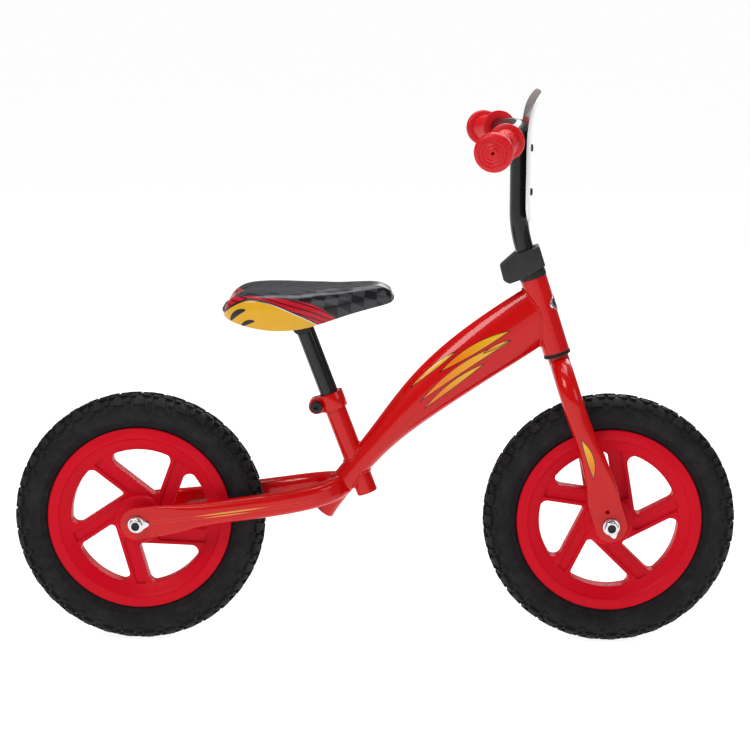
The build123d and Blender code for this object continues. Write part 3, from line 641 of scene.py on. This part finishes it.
def grip_profile():
    """From the bore at the inner flange, out over the ribs to the dimpled end cap."""
    points = [(11.1, 0.2), (19.2, 0.0), (20.6, 0.7), (21.0, 2.4), (20.6, 4.2), (19.0, 5.0)]
    points += [(15.4, 5.6)]
    first = 8.0
    last = 78.0
    pitch = (last - first) / GRIP_RIBS
    for index in range(GRIP_RIBS):
        base = first + index * pitch
        for share, radius in RIB:
            points.append((radius, base + share * pitch))
    points += [(14.6, 78.6), (19.6, 79.2), (21.4, 80.2), (22.0, 82.0), (22.0, 85.0), (21.0, 87.4)]
    points += [(18.8, 88.6), (17.0, 88.9), (16.4, 88.3), (15.4, 88.3), (14.8, 89.2), (12.6, 89.4)]
    points += [(12.0, 88.8), (11.0, 88.8), (10.4, 89.6), (8.2, 89.8), (7.6, 89.2), (6.6, 89.2)]
    points += [(6.0, 89.9), (2.6, 90.0), (1.7, 89.5), (1.6, 85.0), (10.9, 84.6), (11.1, 80.0)]
    return [*points, points[0]]


def build_grips():
    """The left grip on the bar's end, and its mirror image."""
    run = (BAR_END_Y * MM - BAR_SPOT.y) / BAR_OUT.y - GRIP_INNER * MM
    origin = BAR_SPOT + BAR_OUT * run
    turn = BAR_OUT.to_track_quat("Z", "X").to_matrix().to_4x4()
    for name, flip in (("left_grip", 1), ("right_grip", -1)):
        bm = bmesh.new()
        turned_shape(bm, grip_profile(), GRIP_STEPS, Matrix.Translation(origin) @ turn)
        if flip < 0:
            bmesh.ops.scale(bm, vec=(1, -1, 1), verts=bm.verts)
            bmesh.ops.reverse_faces(bm, faces=bm.faces)
        make_piece(bm, name + "_ribbed", "handlebar", "grip", [name], smooth=50)


# ---- saddle -------------------------------------------------------------------------------
# Tail to nose: x, half width, underside height, top height, how deep the top dips.
SADDLE = [
    (-178.8, 26.0, 405.0, 413.0, 0.0),
    (-176.4, 42.0, 403.2, 419.0, 0.0),
    (-169.0, 55.0, 400.4, 426.5, 0.3),
    (-156.0, 65.5, 396.4, 431.0, 0.8),
    (-136.0, 71.0, 391.8, 432.5, 1.6),
    (-112.0, 72.0, 389.2, 432.8, 2.2),
    (-84.0, 66.8, 390.6, 432.8, 1.6),
    (-56.0, 53.2, 397.8, 433.8, 1.0),
    (-30.0, 39.5, 405.4, 435.4, 0.4),
    (-8.0, 31.0, 410.6, 436.8, 0.0),
    (9.0, 25.5, 414.4, 437.4, 0.0),
    (19.5, 19.5, 416.8, 435.4, 0.0),
    (24.2, 11.5, 419.0, 429.0, 0.0),
]
PAN_RISE = 9.0
SWELL_FRAMES = 20
SWELL_PRESSURE = 4.0
SWELL_CAP = 2.4
SWELL_FROM = 0.45       # share of the saddle's height where the swelling begins
SWELL_FADE = 0.4        # share of the height over which it grows to the full
EASE_TURNS = 5


def saddle_section(half, low, high, dip):
    """Right-hand half of one cross-section, from the middle of the top to the underside."""
    tall = high - low
    return [
        (0.0, high - dip),
        (0.30 * half, high - dip * 0.6),
        (0.60 * half, high - 0.1),
        (0.84 * half, high - 0.02 * tall),
        (0.97 * half, high - 0.10 * tall),
        (1.00 * half, high - 0.38 * tall),
        (0.995 * half, high - 0.72 * tall),
        (0.965 * half, low + 0.03 * tall),
        (0.93 * half, low),
        (0.90 * half, low + 0.05 * tall),
        (0.86 * half, low + min(0.45 * tall, PAN_RISE)),
        (0.45 * half, low + min(0.5 * tall, PAN_RISE + 1)),
        (0.0, low + min(0.5 * tall, PAN_RISE + 1)),
    ]


def evaluated_mesh(piece):
    """The piece's mesh with its modifiers taken in."""
    view = bpy.context.evaluated_depsgraph_get()
    return bpy.data.meshes.new_from_object(piece.evaluated_get(view))


def take_in_modifiers(piece):
    mesh = evaluated_mesh(piece)
    piece.modifiers.clear()
    piece.data = mesh


def skirt_and_top(x):
    """Underside and top heights of the saddle at a place along it, in millimetres."""
    for first, second in zip(SADDLE, SADDLE[1:]):
        if x <= second[0]:
            break
    share = min(1.0, max(0.0, (x - first[0]) / (second[0] - first[0])))
    return [first[index] + (second[index] - first[index]) * share for index in (2, 3)]


def swell(piece, cap):
    """Pump the padding up under its skin, as far as cap at the top and not at all at the skirt."""
    start = [vert.co.copy() for vert in piece.data.vertices]
    cloth = piece.modifiers.new("skin", "CLOTH")
    cloth.settings.use_pressure = True
    cloth.settings.uniform_pressure_force = SWELL_PRESSURE
    cloth.settings.effector_weights.gravity = 0.0
    cloth.point_cache.frame_end = SWELL_FRAMES
    scene = bpy.context.scene
    for step in range(1, SWELL_FRAMES + 1):
        scene.frame_set(step)
    take_in_modifiers(piece)
    scene.frame_set(1)
    for vert, origin in zip(piece.data.vertices, start):
        move = vert.co - origin
        low, high = skirt_and_top(origin.x / MM)
        rise = (origin.z / MM - low) / (high - low)
        room = min(1.0, max(0.0, (rise - SWELL_FROM) / SWELL_FADE))
        if move.length > 0:
            move *= min(1.0, cap * MM / move.length)
        vert.co = origin + move * room


def build_saddle():
    """One closed cushion that stands for the vinyl cover and the foam."""
    bm = bmesh.new()
    loops = []
    for x, half, low, high, dip in SADDLE:
        right = saddle_section(half, low, high, dip)
        outline = right + [(-y, z) for y, z in reversed(right[1:-1])]
        verts = [bm.verts.new((x * MM, y * MM, z * MM)) for y, z in outline]
        loops.append([bm.edges.new(pair) for pair in zip(verts, verts[1:] + verts[:1])])
    for first, second in zip(loops, loops[1:]):
        bmesh.ops.bridge_loops(bm, edges=first + second)
    for end in (loops[0], loops[-1]):
        bmesh.ops.contextual_create(bm, geom=end)
    bmesh.ops.recalc_face_normals(bm, faces=bm.faces)
    piece = make_piece(bm, "saddle_cushion", "saddle", "vinyl",
                       ["saddle_cover", "saddle_foam"], smooth=180)
    subsurf = piece.modifiers.new("round", "SUBSURF")
    subsurf.levels = 2
    subsurf.render_levels = 2
    take_in_modifiers(piece)
    swell(piece, SWELL_CAP)
    smooth = piece.modifiers.new("ease", "SMOOTH")
    smooth.factor = 0.5
    smooth.iterations = EASE_TURNS
    last = piece.modifiers.new("round", "SUBSURF")
    last.levels = 1
    last.render_levels = 1
    take_in_modifiers(piece)
    piece.data.shade_smooth()


# ---- welds --------------------------------------------------------------------------------
SEAT_WELD_R = 12.9
SEAT_WELD_STEPS = 56
UPPER_WELD_BELOW = 38.0     # from the seat post's clamp zone down to above the main tube
LOWER_WELD_BELOW = 172.0    # and down to below the main tube


def surface_of(node):
    """A search tree of a CAD node's faces."""
    bm = bmesh.new()
    bm.from_mesh(NODES[node].data)
    tree = BVHTree.FromBMesh(bm)
    bm.free()
    return tree


def weld_bead(name, body, starts, heading, surface, thick=1.5, reach=0.2):
    """A rippled bead where rays from a ring of points meet a surface."""
    hits = []
    for start in starts:
        spot, _, _, _ = surface.ray_cast(start, heading, reach)
        if spot:
            hits.append(spot)
    if len(hits) < len(starts) * 0.9:
        print("weld", name, "found only", len(hits), "of", len(starts), "points")
    curve = bpy.data.curves.new(name, "CURVE")
    curve.dimensions = "3D"
    curve.bevel_depth = thick * MM
    curve.bevel_resolution = 2
    spline = curve.splines.new("POLY")
    spline.points.add(len(hits) - 1)
    spline.use_cyclic_u = True
    for index, (point, hit) in enumerate(zip(spline.points, hits)):
        point.co = (*hit, 1)
        point.radius = 1.0 + 0.16 * cos(index * pi)
    holder = bpy.data.objects.new(name + "_route", curve)
    bpy.context.scene.collection.objects.link(holder)
    bpy.context.view_layer.update()
    mesh = bpy.data.meshes.new_from_object(holder)
    bpy.data.objects.remove(holder)
    mesh.name = name
    bm = bmesh.new()
    bm.from_mesh(mesh)
    bmesh.ops.remove_doubles(bm, verts=bm.verts, dist=0.02 * MM)
    bmesh.ops.recalc_face_normals(bm, faces=bm.faces)
    make_piece(bm, name, body, "red", smooth=60)


def ring_points(matrix, wide, tall, count):
    """Points round an ellipse in a frame's XY plane, half axes in millimetres."""
    spots = []
    for index in range(count):
        angle = tau * index / count
        spots.append(matrix @ Vector((wide * MM * cos(angle), tall * MM * sin(angle), 0)))
    return spots


def build_welds():
    """Beads round both ends of the seat tube's run, the main tube's top and the stays."""
    main = surface_of("main_tube")
    head = surface_of("head_tube")
    up = SEAT.col[2].to_3d()
    for name, below, heading in (("seat_tube_upper_weld", UPPER_WELD_BELOW, -up),
                                 ("seat_tube_lower_weld", LOWER_WELD_BELOW, up)):
        middle = SEAT @ Matrix.Translation((0, 0, -below * MM))
        ring = ring_points(middle, SEAT_WELD_R, SEAT_WELD_R, SEAT_WELD_STEPS)
        weld_bead(name, "frame", ring, heading, main)
    slope = Vector((cos(radians(33)), 0, sin(radians(33))))
    tube_end = leaning_frame(Vector((0.1800, 0, 0.3920)), slope)
    weld_bead("head_tube_weld", "frame", ring_points(tube_end, 34.6, 15.0, 96), slope, head, 1.7)
    for side, word in ((-1, "right"), (1, "left")):
        heading = Vector((1.0, -side * 1.55, 0.32)).normalized()
        start = Vector((-0.0610, side * 0.0300, 0.1868))
        z_axis = heading
        y_axis = z_axis.cross(Vector((0, 0, 1))).normalized()
        x_axis = y_axis.cross(z_axis)
        turn = Matrix((x_axis, y_axis, z_axis)).transposed().to_4x4()
        ring = ring_points(Matrix.Translation(start) @ turn, 13.8, 9.4, 64)
        weld_bead(word + "_stay_weld", "frame", ring, heading, main, 1.6)


# ---- CAD nodes that keep their shape ------------------------------------------------------
PLAIN = {
    "main": ["main_tube"],
    "stay": ["right_chain_stay", "left_chain_stay"],
    "leg": ["right_fork_leg", "left_fork_leg"],
    "red": ["head_tube", "seat_tube", "steerer_tube"],
    "black": ["stem_tube", "handlebar_tube", "seat_post", "stem_clamp_collar"],
    "bush": ["upper_headset_bush", "lower_headset_bush", "front_hub_bushes", "rear_hub_bushes",
             "saddle_pan"],
    "badge": ["head_badge"],
    "bolt": ["crown_race", "stem_clamp_bolt", "plate_screws", "front_axle", "rear_axle",
             "saddle_clamp_core", "saddle_clamp_bolt", "saddle_rail_jaws"],
    "zinc": ["front_axle_spacers", "rear_axle_spacers", "saddle_rails"],
    "plate": ["number_plate"],
}
EASED = [
    ("front_rim", "front_wheel", "nylon_red", "red_plastic", 0.9),
    ("rear_rim", "rear_wheel", "nylon_red", "red_plastic", 0.9),
    ("clamp_cover", "fork", "cover", "black_plastic", 1.0),
    ("seat_clamp_collar", "frame", "red", "red_paint", 0.8),
    ("seat_clamp_bolt", "frame", "bolt", "black_bolt", 0.4),
    ("front_axle_nuts", "fork", "zinc", "zinc", 0.35),
    ("rear_axle_nuts", "frame", "zinc", "zinc", 0.35),
    ("front_tab_washers", "fork", "zinc", "zinc", 0.3),
    ("rear_tab_washers", "frame", "zinc", "zinc", 0.3),
]


def dress_cad_nodes():
    """Give every CAD node that keeps its shape its finish."""
    for finish, names in PLAIN.items():
        for name in names:
            for slot in NODES[name].material_slots:
                slot.material = FINISH[finish]


# ---- stage --------------------------------------------------------------------------------
def build_stage():
    """A plain pale floor, soft light all round and the camera."""
    bm = bmesh.new()
    bmesh.ops.create_grid(bm, x_segments=1, y_segments=1, size=150)
    mesh = bpy.data.meshes.new("studio_floor")
    bm.to_mesh(mesh)
    bm.free()
    floor = bpy.data.objects.new("studio_floor", mesh)
    bpy.context.scene.collection.objects.link(floor)
    paint = Finish("studio_floor", (0.40, 0.40, 0.40), 0.8, Emission_Color=(1, 1, 1),
                   Emission_Strength=0.92, Specular_IOR_Level=0.0)
    mesh.materials.append(paint.material)

    world = bpy.data.worlds.new("studio")
    world.use_nodes = True
    air = world.node_tree.nodes["Background"]
    air.inputs[0].default_value = (1, 1, 1, 1)
    air.inputs[1].default_value = 0.16
    bpy.context.scene.world = world

    lamps = [
        ("key_light", (-1.6, -1.9, 2.4), 1.2, 44.0),
        ("fill_light", (2.4, -1.6, 1.5), 1.2, 11.0),
        ("top_light", (0.1, 0.3, 2.6), 1.6, 42.0),
        ("back_light", (0.8, 2.4, 1.6), 1.6, 26.0),
    ]
    for name, place, size, power in lamps:
        light = bpy.data.lights.new(name, "AREA")
        light.size = size
        light.energy = power
        lamp = bpy.data.objects.new(name, light)
        lamp.location = place
        aim = Vector((0, 0, 0.3)) - Vector(place)
        lamp.rotation_euler = aim.to_track_quat("-Z", "Y").to_euler()
        bpy.context.scene.collection.objects.link(lamp)

    view = bpy.context.scene.view_settings
    view.view_transform = "Standard"

    data = bpy.data.cameras.new("camera")
    data.sensor_width = 36.0
    data.lens = 105.54
    camera = bpy.data.objects.new("camera", data)
    camera.location = (0.0535, -2.600, 0.8059)
    look = Vector((-0.0198, 0.9832, -0.1811))
    camera.rotation_euler = look.to_track_quat("-Z", "Y").to_euler()
    bpy.context.scene.collection.objects.link(camera)
    bpy.context.scene.camera = camera


build_stage()
dress_cad_nodes()
for node, body, finish, slot, ease in EASED:
    eased_copy(node, body, finish, ease)
build_tyre("front", FRONT_HUB, 0.05)
build_tyre("rear", REAR_HUB, 0.02)
build_grips()
build_saddle()
build_welds()
